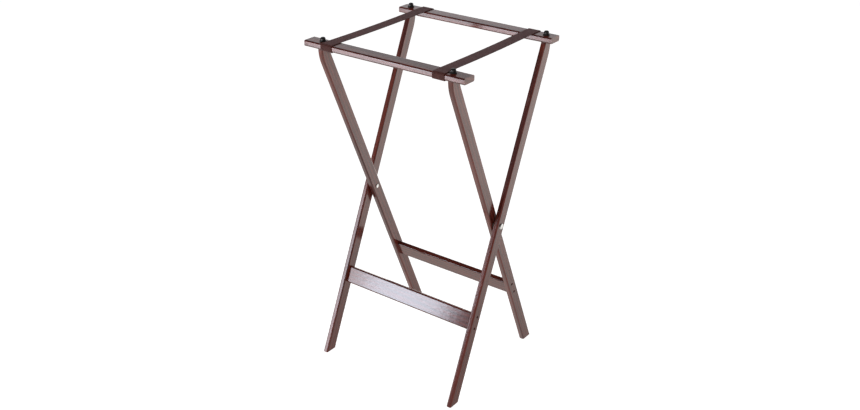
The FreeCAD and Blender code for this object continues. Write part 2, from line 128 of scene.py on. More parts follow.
def mix_colours(tree, share, first, second):
    """first turned into second by share."""
    mixer = add_node(
        tree,
        "ShaderNodeMix",
        {0: share, 6: first, 7: second},
        data_type="RGBA",
        blend_type="MIX",
        clamp_factor=True,
    )
    return mixer.outputs[2]


def maths(tree, operation, first, second=0.0, third=0.0, clamp=False):
    """The result of one sum on numbers or sockets."""
    step = add_node(
        tree, "ShaderNodeMath", {0: first, 1: second, 2: third}, operation=operation, use_clamp=clamp
    )
    return step.outputs[0]


def ramp(tree, value, low, high, low_to=0.0, high_to=1.0):
    """value taken from low..high to low_to..high_to with soft ends."""
    mapper = add_node(
        tree,
        "ShaderNodeMapRange",
        {"Value": value, "From Min": low, "From Max": high, "To Min": low_to, "To Max": high_to},
        interpolation_type="SMOOTHSTEP",
    )
    return mapper.outputs["Result"]


def new_finish(name):
    """An empty material with a Principled shader, and the two that the caller works on."""
    finish = bpy.data.materials.new(name)
    finish.use_nodes = True
    shader = finish.node_tree.nodes["Principled BSDF"]
    return finish, finish.node_tree, shader


bpy.ops.mesh.primitive_grid_add(x_subdivisions=2, y_subdivisions=2, size=FLOOR_SPAN)
floor = bpy.context.object
floor.name = "studio_floor"
floor_finish, tree, shader = new_finish("white_paper")
paper_noise = add_node(tree, "ShaderNodeTexNoise", {"Scale": 3.0, "Detail": 2.0})
paper_white = mix_colours(tree, paper_noise.outputs["Fac"], FLOOR_WHITE, FLOOR_MOTTLE)
tree.links.new(paper_white, shader.inputs["Base Color"])
shader.inputs["Roughness"].default_value = 0.9
shader.inputs["Specular IOR Level"].default_value = 0.1
shader.inputs["Emission Color"].default_value = (1.0, 1.0, 1.0, 1.0)
shader.inputs["Emission Strength"].default_value = FLOOR_GLOW
floor.data.materials.append(floor_finish)

bpy.ops.mesh.primitive_uv_sphere_add(segments=48, ring_count=24, radius=BACKDROP_RADIUS)
backdrop = bpy.context.object
backdrop.name = "studio_backdrop"
backdrop_finish, tree, shader = new_finish("white_backdrop")
shader.inputs["Base Color"].default_value = (0.0, 0.0, 0.0, 1.0)
shader.inputs["Specular IOR Level"].default_value = 0.0
shader.inputs["Emission Color"].default_value = (1.0, 1.0, 1.0, 1.0)
shader.inputs["Emission Strength"].default_value = BACKDROP_GLOW
backdrop.data.materials.append(backdrop_finish)

for paper in (floor, backdrop):
    paper.visible_glossy = False
    paper.visible_diffuse = False
    paper.visible_shadow = False

world = bpy.data.worlds.new("studio_surroundings")
world.use_nodes = True
bpy.context.scene.world = world
tree = world.node_tree
direction = add_node(tree, "ShaderNodeTexCoord").outputs["Generated"]
toward = add_node(tree, "ShaderNodeSeparateXYZ", {0: direction})
rising = ramp(tree, toward.outputs["Z"], *REAR_WALL_Z, HORIZON_LIGHT, REAR_LIGHT)
low_front = ramp(tree, toward.outputs["Z"], *FRONT_WALL_Z, HORIZON_LIGHT, FRONT_LIGHT)
behind = ramp(tree, toward.outputs["Y"], *FRONT_TO_BACK_Y)
glow = add_node(tree, "ShaderNodeMix", {0: behind, 2: low_front, 3: rising}).outputs[0]
far_behind = ramp(tree, toward.outputs["Z"], *REAR_PAPER_Z, NEAR_PAPER_LIGHT, FAR_PAPER_LIGHT)
far_front = ramp(tree, toward.outputs["Z"], *FRONT_PAPER_Z, FRONT_PAPER_LIGHT, HORIZON_LIGHT)
paper = add_node(tree, "ShaderNodeMix", {0: behind, 2: far_front, 3: far_behind}).outputs[0]
above = ramp(tree, toward.outputs["Z"], *PAPER_EDGE_Z)
glow = add_node(tree, "ShaderNodeMix", {0: above, 2: paper, 3: glow}).outputs[0]
overhead = ramp(tree, toward.outputs["Z"], *CEILING_Z)
glow = add_node(tree, "ShaderNodeMix", {0: overhead, 2: glow, 3: CEILING_LIGHT}).outputs[0]
card = ramp(tree, toward.outputs["X"], *SIDE_CARD_START_X)
card = maths(tree, "MULTIPLY", card, ramp(tree, toward.outputs["X"], *SIDE_CARD_END_X, 1.0, 0.0))
lift = maths(tree, "MULTIPLY_ADD", card, SIDE_CARD_LIFT, 1.0)
glow = maths(tree, "MULTIPLY", glow, lift)
sideways = maths(tree, "ABSOLUTE", toward.outputs["X"])
flagged = ramp(tree, sideways, *SIDE_FLAG_X)
glow = add_node(tree, "ShaderNodeMix", {0: flagged, 2: glow, 3: SIDE_FLAG_LIGHT}).outputs[0]
tree.links.new(glow, tree.nodes["Background"].inputs["Strength"])
warmth = mix_colours(tree, above, WARM_PAPER, COOL_ROOM)
tree.links.new(warmth, tree.nodes["Background"].inputs["Color"])


def add_lamp(name, place, aim, size, power, colour=(1.0, 1.0, 1.0), in_gloss=True, in_diffuse=False):
    """A rectangular lamp at place, pointed at aim."""
    lamp_data = bpy.data.lights.new(name, "AREA")
    lamp_data.shape = "RECTANGLE"
    lamp_data.size, lamp_data.size_y = size
    lamp_data.energy = power
    lamp_data.color = colour
    lamp = bpy.data.objects.new(name, lamp_data)
    lamp.location = place
    lamp.rotation_euler = (Vector(aim) - Vector(place)).to_track_quat("-Z", "Y").to_euler()
    lamp.visible_camera = False
    lamp.visible_glossy = in_gloss
    lamp.visible_diffuse = in_diffuse
    bpy.context.scene.collection.objects.link(lamp)


add_lamp(
    "wide_softbox",
    place=(-1.260, -1.75, 0.450),
    aim=(-1.260, 0.0, 0.450),
    size=(0.88, 0.86),
    power=17.7,
    colour=(0.97, 0.93, 1.0),
)
add_lamp(
    "centre_softbox",
    place=(-1.02, -1.74, 0.47),
    aim=(-1.02, 0.0, 0.47),
    size=(0.44, 0.30),
    power=4.6,
    colour=(0.70, 0.84, 1.0),
)
add_lamp(
    "fill_lamp",
    place=(-1.25, -1.95, 2.2),
    aim=(0.0, -0.1, 0.6),
    size=(1.2, 1.3),
    power=38.0,
    in_gloss=False,
    in_diffuse=True,
)
add_lamp(
    "side_lamp",
    place=(2.3, -1.4, 1.7),
    aim=(0.0, -0.1, 0.5),
    size=(1.2, 1.2),
    power=28.0,
    in_gloss=False,
    in_diffuse=True,
)

bpy.context.scene.view_settings.view_transform = "Standard"
bpy.context.scene.view_settings.look = "None"


# --- Boards: rails, stretchers and legs -------------------------------------------------------------
# Hardwood boards with rounded edges, stained a dark red mahogany and sprayed with clear gloss
# lacquer. The grain runs along each board, and in a leg it follows the bend below the rail.

PIVOT_Z = frame["joints"][0]["pos_m"][2]
FOOT_Y = 0.16967
RAIL_Y = 0.165
LEG_TURN = atan2(FOOT_Y, PIVOT_Z)
LEG_BEND_ROUND = 0.02

STAIN_DARK = (0.0430, 0.0083, 0.0060, 1.0)
STAIN_LIGHT = (0.1280, 0.0240, 0.0145, 1.0)
STAIN_PORE = (0.0100, 0.0022, 0.0020, 1.0)
STAIN_EDGE = (0.1300, 0.0215, 0.0125, 1.0)
COAT_TINT = (1.0, 0.93, 0.92, 1.0)
RINGS_SHARE = 0.26
STREAK_SHARE = 0.42
FIBRE_SHARE = 0.26
CLOUD_SHARE = 0.35
PORE_DARKNESS = 0.75
EDGE_WIDTH = 0.0016
EDGE_RUB = 0.45
HEART_AWAY = 0.043
HEART_STEP = 0.009
BOARD_STEP_ALONG = 0.37
BOARD_STEP_DEEP = 0.11
GRAIN_DEPTH = 0.00012


def along_level_board(tree, centre, tilt):
    """Place in a board along X: along it, across its section, and square to both."""
    place = add_node(tree, "ShaderNodeTexCoord").outputs["Object"]
    turned = add_node(
        tree,
        "ShaderNodeMapping",
        {"Vector": place, "Location": centre, "Rotation": (tilt, 0.0, 0.0)},
        vector_type="TEXTURE",
    )
    return turned.outputs["Vector"]


def along_leg(tree, leg_x, way):
    """Place in a leg that leans along Y by way and turns upright at the rail's line."""
    place = add_node(tree, "ShaderNodeTexCoord").outputs["Object"]
    split = add_node(tree, "ShaderNodeSeparateXYZ", {0: place})
    up = maths(tree, "SUBTRACT", split.outputs["Z"], PIVOT_Z)
    lean = maths(tree, "MULTIPLY", up, FOOT_Y / PIVOT_Z)
    middle = maths(tree, "SMOOTH_MIN", lean, RAIL_Y, LEG_BEND_ROUND)
    off = maths(tree, "SUBTRACT", maths(tree, "MULTIPLY", split.outputs["Y"], way), middle)
    joined = add_node(
        tree,
        "ShaderNodeCombineXYZ",
        {
            "X": maths(tree, "MULTIPLY", up, 1.0 / cos(LEG_TURN)),
            "Y": maths(tree, "SUBTRACT", split.outputs["X"], leg_x),
            "Z": maths(tree, "MULTIPLY", off, cos(LEG_TURN)),
        },
    )
    return joined.outputs["Vector"]


def lacquered_wood(name, place_in_board, seed):
    """Mahogany stain and gloss lacquer on one board. seed moves the board within its tree."""
    finish, tree, shader = new_finish(name)
    place = place_in_board(tree)

    def drawn_out(share, shift):
        scaled = add_node(
            tree,
            "ShaderNodeMapping",
            {
                "Vector": place,
                "Scale": (share, 1.0, 1.0),
                "Location": (seed * BOARD_STEP_ALONG, shift, seed * BOARD_STEP_DEEP),
            },
        )
        return scaled.outputs["Vector"]

    def noise(vector, scale, detail=2.0, rough=0.5):
        made = add_node(
            tree,
            "ShaderNodeTexNoise",
            {"Vector": vector, "Scale": scale, "Detail": detail, "Roughness": rough},
        )
        return made.outputs["Fac"]

    rings = add_node(
        tree,
        "ShaderNodeTexWave",
        {
            "Vector": drawn_out(0.07, HEART_AWAY + HEART_STEP * seed),
            "Scale": 34.0,
            "Distortion": 9.0,
            "Detail": 3.0,
            "Detail Scale": 0.6,
            "Detail Roughness": 0.6,
        },
        wave_type="RINGS",
        rings_direction="X",
    ).outputs["Fac"]
    cloud = noise(drawn_out(0.25, 0.2), 14.0, 3.0)
    fibre = noise(drawn_out(0.018, 0.5), 2400.0, 3.0, 0.6)
    streak = noise(drawn_out(0.07, 0.8), 520.0, 2.0)
    pore = ramp(tree, noise(drawn_out(0.035, 1.1), 1500.0, 1.0), 0.60, 0.70)

    figure = maths(tree, "MULTIPLY", streak, STREAK_SHARE)
    figure = maths(tree, "MULTIPLY_ADD", rings, RINGS_SHARE, figure)
    figure = maths(tree, "MULTIPLY_ADD", fibre, FIBRE_SHARE, figure)
    figure = maths(tree, "MULTIPLY_ADD", cloud, CLOUD_SHARE, figure)
    figure = ramp(tree, figure, 0.38, 0.92)
    colour = mix_colours(tree, figure, STAIN_DARK, STAIN_LIGHT)
    colour = mix_colours(tree, maths(tree, "MULTIPLY", pore, PORE_DARKNESS), colour, STAIN_PORE)

    soft_normal = add_node(tree, "ShaderNodeBevel", {"Radius": EDGE_WIDTH}, samples=6).outputs["Normal"]
    face_normal = add_node(tree, "ShaderNodeNewGeometry").outputs["Normal"]
    facing = add_node(
        tree, "ShaderNodeVectorMath", {0: soft_normal, 1: face_normal}, operation="DOT_PRODUCT"
    ).outputs["Value"]
    rubbed = maths(tree, "SUBTRACT", 1.0, facing)
    rubbed = ramp(tree, maths(tree, "MULTIPLY_ADD", cloud, 0.02, rubbed), 0.012, 0.10)
    colour = mix_colours(tree, maths(tree, "MULTIPLY", rubbed, EDGE_RUB), colour, STAIN_EDGE)
    tree.links.new(colour, shader.inputs["Base Color"])

    smear = noise(drawn_out(0.4, 1.7), 45.0, 3.0)
    rough = maths(tree, "MULTIPLY_ADD", smear, 0.14, 0.26)
    rough = maths(tree, "MULTIPLY_ADD", pore, 0.15, rough)
    tree.links.new(rough, shader.inputs["Roughness"])

    relief = maths(tree, "MULTIPLY_ADD", pore, -0.8, maths(tree, "MULTIPLY", fibre, 0.45))
    relief = maths(tree, "MULTIPLY_ADD", streak, 0.35, relief)
    wood_bump = add_node(
        tree, "ShaderNodeBump", {"Height": relief, "Strength": 0.45, "Distance": GRAIN_DEPTH}
    )
    tree.links.new(wood_bump.outputs["Normal"], shader.inputs["Normal"])
    flow = noise(drawn_out(0.35, 2.1), 260.0, 2.0)
    ripple = noise(drawn_out(0.6, 2.6), 75.0, 2.0)
    coat_relief = maths(tree, "MULTIPLY_ADD", relief, 0.12, maths(tree, "MULTIPLY", flow, 0.5))
    coat_relief = maths(tree, "MULTIPLY_ADD", ripple, 2.2, coat_relief)
    coat_bump = add_node(
        tree, "ShaderNodeBump", {"Height": coat_relief, "Strength": 0.35, "Distance": GRAIN_DEPTH}
    )
    tree.links.new(coat_bump.outputs["Normal"], shader.inputs["Coat Normal"])

    shader.inputs["IOR"].default_value = 1.52
    shader.inputs["Specular IOR Level"].default_value = 0.05
    shader.inputs["Coat Weight"].default_value = 0.88
    shader.inputs["Coat Roughness"].default_value = 0.13
    shader.inputs["Coat IOR"].default_value = 1.52
    shader.inputs["Coat Tint"].default_value = COAT_TINT
    return finish


def give_finish(name, finish):
    """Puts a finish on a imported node."""
    for slot in nodes[name].material_slots:
        slot.material = finish


seed = 1
for board in ("front_rail", "rear_rail", "front_stretcher", "rear_stretcher"):
    low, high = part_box(board)
    tilt = 0.0
    if board == "front_stretcher":
        tilt = -LEG_TURN
    if board == "rear_stretcher":
        tilt = LEG_TURN
    centre = (low + high) / 2

    def place_in_board(tree, centre=tuple(centre), tilt=tilt):
        return along_level_board(tree, centre, tilt)

    give_finish(board, lacquered_wood(f"lacquer_{board}", place_in_board, seed))
    seed += 1
for board, way in (
    ("left_inner_leg", -1),
    ("right_inner_leg", -1),
    ("left_outer_leg", 1),
    ("right_outer_leg", 1),
):
    low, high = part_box(board)

    def place_in_board(tree, leg_x=(low.x + high.x) / 2, way=way):
        return along_leg(tree, leg_x, way)

    give_finish(board, lacquered_wood(f"lacquer_{board}", place_in_board, seed))
    seed += 1


# --- Pivots: rivets, washers and collars ------------------------------------------------------------
# A bright zinc-plated steel rivet through both legs at each side, its domed head outside and a
# pressed collar inside, with a nylon washer between the legs.

RIVET_METAL = (0.58, 0.58, 0.57, 1.0)
NYLON = (0.60, 0.58, 0.53, 1.0)
NYLON_SHADE = (0.50, 0.48, 0.43, 1.0)
WORN_SHARE = 0.62


def plated_steel(name, metal, rough, turned_about_x=None):
    """Plated steel with fine marks, in rings about an X axis through (y, z) where that is given."""
    finish, tree, shader = new_finish(name)
    place = add_node(tree, "ShaderNodeTexCoord").outputs["Object"]
    speck = add_node(
        tree, "ShaderNodeTexNoise", {"Vector": place, "Scale": 900.0, "Detail": 3.0}
    ).outputs["Fac"]
    stain = add_node(
        tree, "ShaderNodeTexNoise", {"Vector": place, "Scale": 160.0, "Detail": 2.0}
    ).outputs["Fac"]
    marks = speck
    if turned_about_x:
        centred = add_node(
            tree,
            "ShaderNodeMapping",
            {"Vector": place, "Location": (0.0, -turned_about_x[0], -turned_about_x[1])},
        )
        marks = add_node(
            tree,
            "ShaderNodeTexWave",
            {"Vector": centred.outputs["Vector"], "Scale": 900.0, "Distortion": 1.5, "Detail": 2.0},
            wave_type="RINGS",
            rings_direction="X",
        ).outputs["Fac"]
    worn = tuple(channel * WORN_SHARE for channel in metal[:3]) + (1.0,)
    colour = mix_colours(tree, ramp(tree, stain, 0.48, 0.75), metal, worn)
    tree.links.new(colour, shader.inputs["Base Color"])
    tree.links.new(
        maths(tree, "MULTIPLY_ADD", speck, 0.16, rough - 0.08), shader.inputs["Roughness"]
    )
    bump = add_node(tree, "ShaderNodeBump", {"Height": marks, "Strength": 0.25, "Distance": 0.00003})
    tree.links.new(bump.outputs["Normal"], shader.inputs["Normal"])
    shader.inputs["Metallic"].default_value = 1.0
    return finish


rivet_steel = plated_steel("rivet_plate", RIVET_METAL, 0.20, (0.0, PIVOT_Z))
nylon, tree, shader = new_finish("nylon")
place = add_node(tree, "ShaderNodeTexCoord").outputs["Object"]
grain = add_node(tree, "ShaderNodeTexNoise", {"Vector": place, "Scale": 1400.0, "Detail": 2.0})
nylon_colour = mix_colours(tree, grain.outputs["Fac"], NYLON, NYLON_SHADE)
tree.links.new(nylon_colour, shader.inputs["Base Color"])
tree.links.new(
    maths(tree, "MULTIPLY_ADD", grain.outputs["Fac"], 0.2, 0.35), shader.inputs["Roughness"]
)
nylon_bump = add_node(
    tree, "ShaderNodeBump", {"Height": grain.outputs["Fac"], "Strength": 0.2, "Distance": 0.00003}
)
tree.links.new(nylon_bump.outputs["Normal"], shader.inputs["Normal"])
for side in ("left", "right"):
    give_finish(f"{side}_pivot_rivet", rivet_steel)
    give_finish(f"{side}_pivot_collar", rivet_steel)
    give_finish(f"{side}_pivot_washer", nylon)


# --- Stretcher screws -------------------------------------------------------------------------------
# Pan-head steel screws with a cross recess, blacked, two at each end of each stretcher. They sit in
# counterbores in the legs' outer faces. One set for each frame.

SCREW_BLACK = (0.075, 0.070, 0.070, 1.0)
SCREW_HEAD_RADIUS = 0.00295
SCREW_HEAD_HEIGHT = 0.0022
SCREW_SHANK_RADIUS = 0.0019
SCREW_LENGTH = 0.033
SCREW_THREAD_PITCH = 0.0016
SCREW_THREAD_ROOT = 0.72
SCREW_TIP_LENGTH = 0.006
SCREW_POINT_LENGTH = 0.0008
SCREW_NECK_START = 0.0015
SCREW_NECK_END = 0.0006
SCREW_RIM_HEIGHT = 0.0008
SCREW_CROWN_DROP = 0.0009
SCREW_FLAT_SHARE = 0.55
SCREW_STEPS = 24
RECESS_WIDTH = 0.00085
RECESS_DEPTH = 0.0016
RECESS_LONG = 4.2
SCREW_SPACING = 0.0274


def new_tree(name, sockets):
    """A Geometry Nodes tree with the given inputs, its two end nodes, and each input's identifier."""
    tree = bpy.data.node_groups.new(name, "GeometryNodeTree")
    tree.interface.new_socket(name="Geometry", in_out="OUTPUT", socket_type="NodeSocketGeometry")
    tree.interface.new_socket(name="Geometry", in_out="INPUT", socket_type="NodeSocketGeometry")
    identifiers = {}
    for label, kind in sockets.items():
        made = tree.interface.new_socket(name=label, in_out="INPUT", socket_type=f"NodeSocket{kind}")
        identifiers[label] = made.identifier
    start = tree.nodes.new("NodeGroupInput")
    finish = tree.nodes.new("NodeGroupOutput")
    return tree, start.outputs, finish.inputs[0], identifiers


def grown(name, mesh, tree, identifiers, values):
    """The plain mesh object that a Geometry Nodes tree makes from mesh with these input values."""
    made = bpy.data.objects.new(name, mesh)
    bpy.context.scene.collection.objects.link(made)
    modifier = made.modifiers.new("grow", "NODES")
    modifier.node_group = tree
    for label, value in values.items():
        modifier[identifiers[label]] = value
    depsgraph = bpy.context.evaluated_depsgraph_get()
    plain = bpy.data.meshes.new_from_object(made.evaluated_get(depsgraph))
    made.modifiers.remove(modifier)
    made.data = plain
    plain.name = name
    return made


def turned_mesh(name, profile, steps):
    """A mesh turned about Z from a profile of (radius, height) points, closed at both ends."""
    points = []
    faces = []
    rows = []
    for radius, height in profile:
        if radius == 0.0:
            rows.append([len(points)] * steps)
            points.append((0.0, 0.0, height))
            continue
        rows.append(list(range(len(points), len(points) + steps)))
        for step in range(steps):
            angle = 2 * pi * step / steps
            points.append((radius * cos(angle), radius * sin(angle), height))
    for lower, upper in zip(rows, rows[1:]):
        for step in range(steps):
            after = (step + 1) % steps
            corners = (lower[step], lower[after], upper[after], upper[step])
            faces.append(tuple(dict.fromkeys(corners)))
    mesh = bpy.data.meshes.new(name)
    mesh.from_pydata(points, [], faces)
    mesh.shade_smooth()
    return mesh


def screw_profile():
    """From the point up the threaded shank to the crown of the pan head. The head sits on z = 0."""
    profile = [(0.0, -SCREW_LENGTH)]
    depth = SCREW_LENGTH - SCREW_POINT_LENGTH
    crest = True
    while depth > SCREW_NECK_START:
        full = SCREW_SHANK_RADIUS * min(1.0, (SCREW_LENGTH - depth) / SCREW_TIP_LENGTH)
        profile.append((full if crest else full * SCREW_THREAD_ROOT, -depth))
        depth -= SCREW_THREAD_PITCH / 2
        crest = not crest
    profile += [(SCREW_SHANK_RADIUS, -SCREW_NECK_END), (SCREW_SHANK_RADIUS, 0.0)]
    profile += [(SCREW_HEAD_RADIUS, 0.0), (SCREW_HEAD_RADIUS, SCREW_RIM_HEIGHT)]
    for turn in range(1, 6):
        angle = turn / 6 * pi / 2
        profile.append(
            (
                SCREW_HEAD_RADIUS * (SCREW_FLAT_SHARE + (1 - SCREW_FLAT_SHARE) * cos(angle)),
                SCREW_RIM_HEIGHT + (SCREW_HEAD_HEIGHT - SCREW_CROWN_DROP) * sin(angle),
            )
        )
    profile.append((0.0, SCREW_HEAD_HEIGHT))
    return profile


screw_tree, given, result, screw_inputs = new_tree(
    "screws_at_stretcher_ends",
    {
        "Across": "Float",
        "Spacing": "Float",
        "Middle": "Vector",
        "Tilt": "Float",
        "Recess Width": "Float",
        "Recess Depth": "Float",
        "Head Height": "Float",
        "Finish": "Material",
    },
)
recess_size = add_node(
    screw_tree,
    "ShaderNodeCombineXYZ",
    {
        "X": maths(screw_tree, "MULTIPLY", given["Recess Width"], RECESS_LONG),
        "Y": given["Recess Width"],
        "Z": maths(screw_tree, "MULTIPLY", given["Recess Depth"], 2.0),
    },
)
slot_bar = add_node(
    screw_tree,
    "GeometryNodeMeshCone",
    {"Vertices": 4, "Radius Top": 0.25, "Radius Bottom": 0.7071, "Depth": 0.5},
)
slot_square = add_node(
    screw_tree,
    "GeometryNodeTransform",
    {"Geometry": slot_bar.outputs["Mesh"], "Rotation": (pi, 0.0, pi / 4)},
)
slot_long = add_node(
    screw_tree,
    "GeometryNodeTransform",
    {"Geometry": slot_square.outputs["Geometry"], "Scale": recess_size.outputs["Vector"]},
)
slot_cross = add_node(
    screw_tree,
    "GeometryNodeTransform",
    {"Geometry": slot_long.outputs["Geometry"], "Rotation": (0.0, 0.0, pi / 2)},
)
head_top = add_node(screw_tree, "ShaderNodeCombineXYZ", {"Z": given["Head Height"]})
both_slots = add_node(screw_tree, "GeometryNodeMeshBoolean", operation="UNION", solver="EXACT")
screw_tree.links.new(slot_long.outputs["Geometry"], both_slots.inputs["Mesh 2"])
screw_tree.links.new(slot_cross.outputs["Geometry"], both_slots.inputs["Mesh 2"])
slots_at_top = add_node(
    screw_tree,
    "GeometryNodeTransform",
    {"Geometry": both_slots.outputs["Mesh"], "Translation": head_top.outputs["Vector"]},
)
recessed = add_node(
    screw_tree,
    "GeometryNodeMeshBoolean",
    {"Mesh 1": given["Geometry"], "Mesh 2": slots_at_top.outputs["Geometry"]},
    operation="DIFFERENCE",
    solver="EXACT",
)
end_grid = add_node(
    screw_tree,
    "GeometryNodeMeshGrid",
    {"Size X": given["Across"], "Size Y": given["Spacing"], "Vertices X": 2, "Vertices Y": 2},
)
tilt_vector = add_node(screw_tree, "ShaderNodeCombineXYZ", {"X": given["Tilt"]})
seats = add_node(
    screw_tree,
    "GeometryNodeTransform",
    {
        "Geometry": end_grid.outputs["Mesh"],
        "Translation": given["Middle"],
        "Rotation": tilt_vector.outputs["Vector"],
    },
)
seat_place = add_node(screw_tree, "GeometryNodeInputPosition")
seat_split = add_node(screw_tree, "ShaderNodeSeparateXYZ", {0: seat_place.outputs["Position"]})
outward = add_node(
    screw_tree,
    "ShaderNodeCombineXYZ",
    {"X": maths(screw_tree, "SIGN", seat_split.outputs["X"])},
)
facing_out = add_node(
    screw_tree, "FunctionNodeAlignRotationToVector", {"Vector": outward.outputs["Vector"]}, axis="Z"
)
screws = add_node(
    screw_tree,
    "GeometryNodeInstanceOnPoints",
    {
        "Points": seats.outputs["Geometry"],
        "Instance": recessed.outputs["Mesh"],
        "Rotation": facing_out.outputs["Rotation"],
    },
)
real_screws = add_node(
    screw_tree, "GeometryNodeRealizeInstances", {"Geometry": screws.outputs["Instances"]}
)
finished = add_node(
    screw_tree,
    "GeometryNodeSetMaterial",
    {"Geometry": real_screws.outputs["Geometry"], "Material": given["Finish"]},
)
screw_tree.links.new(finished.outputs["Geometry"], result)

black_steel = plated_steel("screw_black", SCREW_BLACK, 0.34)
for body, word, way in (("outer_frame", "front", -1), ("inner_frame", "rear", 1)):
    head_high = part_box(f"right_{word}_stretcher_screws")[1]
    stretcher_low, stretcher_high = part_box(f"{word}_stretcher")
    middle = (stretcher_low + stretcher_high) / 2
    screws = grown(
        f"{word}_stretcher_screw_set",
        turned_mesh("screw", screw_profile(), SCREW_STEPS),
        screw_tree,
        screw_inputs,
        {
            "Across": 2 * (head_high.x - SCREW_HEAD_HEIGHT),
            "Spacing": SCREW_SPACING,
            "Middle": [0.0, middle.y, middle.z],
            "Tilt": pi / 2 + way * LEG_TURN,
            "Recess Width": RECESS_WIDTH,
            "Recess Depth": RECESS_DEPTH,
            "Head Height": SCREW_HEAD_HEIGHT,
            "Finish": black_steel,
        },
    )
    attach(screws, body)
    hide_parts(f"left_{word}_stretcher_screws", f"right_{word}_stretcher_screws")


# --- Rail screws ------------------------------------------------------------------------------------
# One steel screw down through each end of a rail into the top of the leg. Its bumper covers it.

for word in ("front", "rear"):
    for side in ("left", "right"):
        give_finish(f"{side}_{word}_rail_screw", black_steel)


# --- Bumpers ----------------------------------------------------------------------------------------
# Soft black rubber buttons, moulded as a round flange and a dome, pressed into the rails'
# counterbores over the screws. A tray or case rests on them.

RUBBER_BLACK = (0.0055, 0.0050, 0.0045, 1.0)
RUBBER_DUST = (0.014, 0.012, 0.011, 1.0)

rubber, tree, shader = new_finish("moulded_rubber")
place = add_node(tree, "ShaderNodeTexCoord").outputs["Object"]
pebble = add_node(tree, "ShaderNodeTexNoise", {"Vector": place, "Scale": 2600.0, "Detail": 2.0})
bloom = add_node(tree, "ShaderNodeTexNoise", {"Vector": place, "Scale": 230.0, "Detail": 3.0})
rubber_colour = mix_colours(
    tree, ramp(tree, bloom.outputs["Fac"], 0.45, 0.8), RUBBER_BLACK, RUBBER_DUST
)
tree.links.new(rubber_colour, shader.inputs["Base Color"])
tree.links.new(
    maths(tree, "MULTIPLY_ADD", bloom.outputs["Fac"], 0.25, 0.22), shader.inputs["Roughness"]
)
rubber_bump = add_node(
    tree, "ShaderNodeBump", {"Height": pebble.outputs["Fac"], "Strength": 0.22, "Distance": 0.00004}
)
tree.links.new(rubber_bump.outputs["Normal"], shader.inputs["Normal"])
for word in ("front", "rear"):
    for side in ("left", "right"):
        give_finish(f"{side}_{word}_bumper", rubber)


# --- Straps -----------------------------------------------------------------------------------------
# Dark brown cotton webbing, woven plain with a thick yarn, over both rails, down their outer faces
# and under them to the tacks. The straps stop the rack from opening further, and they are taut.

STRAP_WIDTH = 0.030
STRAP_THICKNESS = 0.0016
STRAP_GAP = 0.0003
STRAP_TAIL_Y = 0.1535
RAIL_OUTER_Y = 0.1825
RAIL_INNER_Y = 0.1475
RAIL_ROUND = 0.0032
RAIL_TOP_Z = 0.787
RAIL_LOW_Z = 0.7737
STRAP_SAG = 0.0016
STRAP_CLEAR_OF_EDGE = 0.004
ROUND_STEPS = 8
SPAN_STEPS = 24
YARN_PITCH = 0.0015
PICK_LENGTH = 0.0020
YARNS_TO_MIDDLE = 100.0
WEAVE_RELIEF = 0.00022
WEB_COLUMNS = 61
WEB_ROWS = 677
WEB_EDGE_SHARE = 1 / 18
WEB_END_SHARE = 1 / 250
WEB_FACES_APART = 0.002
WELD_DISTANCE = 0.00001
STRAP_BROWN = (0.068, 0.0170, 0.0135, 1.0)
# A deep brown for random dark patches, and for the painted shade in the dips between the yarns.
STRAP_DEEP_AND_WEAVE_SHADE = (0.010, 0.0040, 0.0040, 1.0)
STRAP_PALE = (0.105, 0.0330, 0.0270, 1.0)
STRAP_SHEEN = (0.80, 0.58, 0.60, 1.0)


def strap_line():
    """The middle of the webbing's thickness from one tacked end to the other, as (y, z) points."""
    half = STRAP_THICKNESS / 2
    turn = RAIL_ROUND + STRAP_GAP + half
    top = RAIL_TOP_Z + STRAP_GAP + half
    low = RAIL_LOW_Z - STRAP_GAP - half
    turn_y = RAIL_OUTER_Y - RAIL_ROUND
    points = [(STRAP_TAIL_Y, low)]
    for step in range(ROUND_STEPS + 1):
        angle = -pi / 2 + step / ROUND_STEPS * pi / 2
        points.append((turn_y + turn * cos(angle), low + turn + turn * sin(angle)))
    for step in range(ROUND_STEPS + 1):
        angle = step / ROUND_STEPS * pi / 2
        points.append((turn_y + turn * cos(angle), top - turn + turn * sin(angle)))
    points.append((RAIL_INNER_Y + STRAP_CLEAR_OF_EDGE, top))
    for step in range(1, SPAN_STEPS // 2 + 1):
        y = RAIL_INNER_Y * (1 - 2 * step / SPAN_STEPS)
        points.append((y, top - STRAP_SAG * (1 - (y / RAIL_INNER_Y) ** 2)))
    front = [(-y, z) for y, z in reversed(points[:-1])]
    return points + front


strap_points = strap_line()
strap_length = sum(
    sqrt((b[0] - a[0]) ** 2 + (b[1] - a[1]) ** 2) for a, b in zip(strap_points, strap_points[1:])
)

strap_tree, given, result, strap_inputs = new_tree(
    "webbing_along_line",
    {
        "Width": "Float",
        "Thickness": "Float",
        "Length": "Float",
        "Yarn Pitch": "Float",
        "Pick Length": "Float",
        "Relief": "Float",
        "Columns": "Int",
        "Rows": "Int",
        "Finish": "Material",
    },
)
line = add_node(strap_tree, "GeometryNodeMeshToCurve", {"Mesh": given["Geometry"]}).outputs["Curve"]


